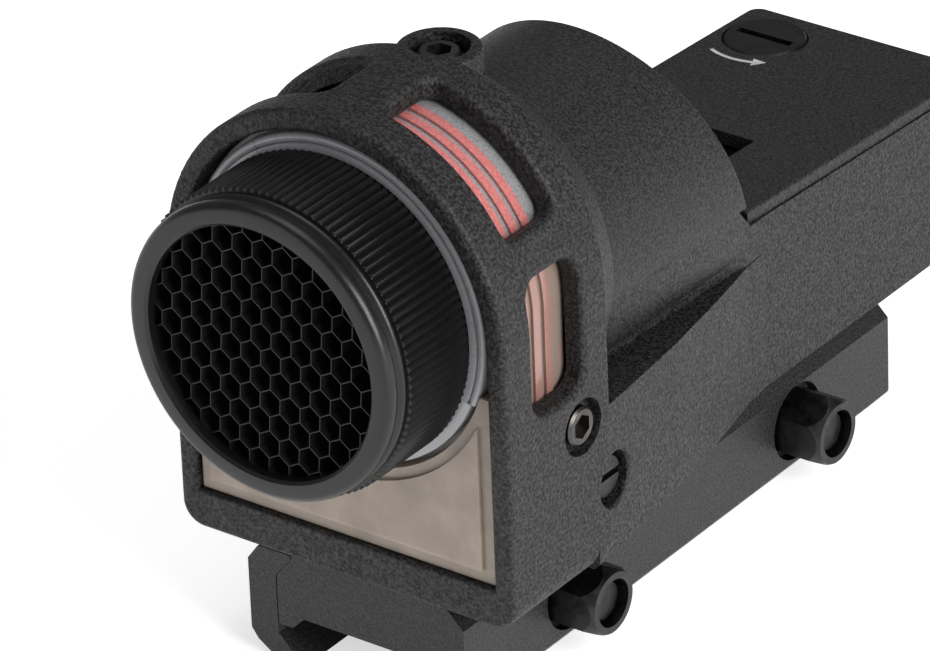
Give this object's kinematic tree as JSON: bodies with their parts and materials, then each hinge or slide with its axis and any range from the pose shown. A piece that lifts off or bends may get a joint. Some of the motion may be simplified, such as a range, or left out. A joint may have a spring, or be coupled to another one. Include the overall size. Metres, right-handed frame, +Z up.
{
  "type": "reflex dot sight",
  "caption": "Rail-mounted reflex dot sight with a hooded lens, fibre light collector, screw-on honeycomb filter, slotted windage and elevation adjusters and a rail clamp.",
  "frame": {"origin": "middle of the clamp's flat seat, which rests on the top of the rail, half way between the two cross bolts", "axes": "+Y runs along the optical axis from the lens towards the user's eye (the viewing direction is -Y), +Z up, +X to the side with the clamp nuts"},
  "size_m": [0.0506, 0.1303, 0.0806],
  "materials": {
    "housing_coat": "fine textured black coat",
    "cover_coat": "satin black coat",
    "clamp_coat": "satin black anodised",
    "filter_coat": "satin black anodised, knurled",
    "core_coat": "matt black",
    "cell_coat": "matt black anodised",
    "screw_steel": "bright",
    "dark_steel": "black oxide",
    "spring_steel": "drawn wire",
    "brass": "turned",
    "sled_alloy": "milled",
    "collector_plastic": "translucent, moulded",
    "ring_plastic": "glossy moulded",
    "band_plastic": "translucent",
    "fibre": "fluorescent fibre",
    "lens_glass": "polished, red reflecting coat",
    "pipe_plastic": "clear light pipe",
    "seal_rubber": "matt",
    "module_plastic": "moulded",
    "mask_metal": "matt black foil"
  },
  "bodies": {
    "sight": {"main_housing": "housing_coat", "barrel_cover": "cover_coat", "plate_screws": "screw_steel", "light_collector": "collector_plastic", "hood_screws": "screw_steel", "collector_ring": "ring_plastic", "fibre_band": "band_plastic", "fibre_windings": "fibre", "lens_cell": "cell_coat", "lens_seal": "seal_rubber", "objective_lens": "lens_glass", "lens_retainer": "cell_coat", "rail_base": "clamp_coat", "base_gasket": "seal_rubber", "base_screws": "dark_steel", "light_pipe": "pipe_plastic", "windage_spring": "spring_steel"},
    "filter_lift": {"filter_seal": "seal_rubber"},
    "filter": {"filter_ring": "filter_coat", "honeycomb_core": "core_coat", "core_clip": "dark_steel"},
    "windage_knob": {"windage_screw": "dark_steel", "windage_clip": "spring_steel"},
    "sled": {"windage_sled": "sled_alloy", "elevation_spring": "spring_steel"},
    "elevation_knob": {"elevation_dial": "dark_steel", "dial_clip": "spring_steel"},
    "lift_nut": {"elevation_nut": "brass"},
    "carriage": {"emitter_carriage": "module_plastic", "emitter_module": "pipe_plastic", "reticle_mask": "mask_metal"},
    "clamp": {"clamp_bar": "clamp_coat", "cross_bolts": "dark_steel", "guide_pins": "dark_steel"},
    "nut_front": {"clamp_nut_front": "dark_steel"},
    "nut_rear": {"clamp_nut_rear": "dark_steel"}
  },
  "joints": [
    {"name": "filter_travel", "type": "slide", "parent": "sight", "child": "filter_lift", "axis": [0, -1, 0], "range_m": [0, 0.00375]},
    {"name": "filter_turn", "type": "hinge", "parent": "filter_lift", "child": "filter", "pos_m": [0, -0.0552, 0.0483], "axis": [0, -1, 0], "range_deg": [0, 1801]},
    {"name": "windage_turn", "type": "hinge", "parent": "sight", "child": "windage_knob", "pos_m": [0.02, -0.0279, 0.021], "axis": [1, 0, 0], "range_deg": [-361, 361]},
    {"name": "windage_travel", "type": "slide", "parent": "sight", "child": "sled", "axis": [1, 0, 0], "range_m": [-0.0005, 0.0005], "deforming": ["windage_spring"]},
    {"name": "elevation_turn", "type": "hinge", "parent": "sight", "child": "elevation_knob", "pos_m": [-0.0104, 0.0571, 0.0355], "axis": [0, 0, 1], "range_deg": [-361, 361]},
    {"name": "elevation_nut_travel", "type": "slide", "parent": "sight", "child": "lift_nut", "axis": [0, 0, 1], "range_m": [-0.0005, 0.0005]},
    {"name": "elevation_travel", "type": "slide", "parent": "sled", "child": "carriage", "axis": [0, 0, 1], "range_m": [-0.0005, 0.0005], "deforming": ["elevation_spring"]},
    {"name": "clamp_travel", "type": "slide", "parent": "sight", "child": "clamp", "axis": [-1, 0, 0], "range_m": [0, 0.0032]},
    {"name": "front_nut_turn", "type": "hinge", "parent": "sight", "child": "nut_front", "pos_m": [0.018, -0.025, 0.001], "axis": [1, 0, 0], "range_deg": [0, 1441]},
    {"name": "rear_nut_turn", "type": "hinge", "parent": "sight", "child": "nut_rear", "pos_m": [0.018, 0.025, 0.001], "axis": [1, 0, 0], "range_deg": [0, 1441]}
  ],
  "couplings": [
    {"joint": "filter_turn", "follows": "filter_travel", "rad_per_m": 8377.6},
    {"joint": "windage_turn", "follows": "windage_travel", "rad_per_m": 12566},
    {"joint": "elevation_turn", "follows": "elevation_travel", "rad_per_m": 12566},
    {"joint": "elevation_nut_travel", "follows": "elevation_travel", "ratio": 1},
    {"joint": "front_nut_turn", "follows": "clamp_travel", "rad_per_m": 7854},
    {"joint": "rear_nut_turn", "follows": "clamp_travel", "rad_per_m": 7854}
  ]
}
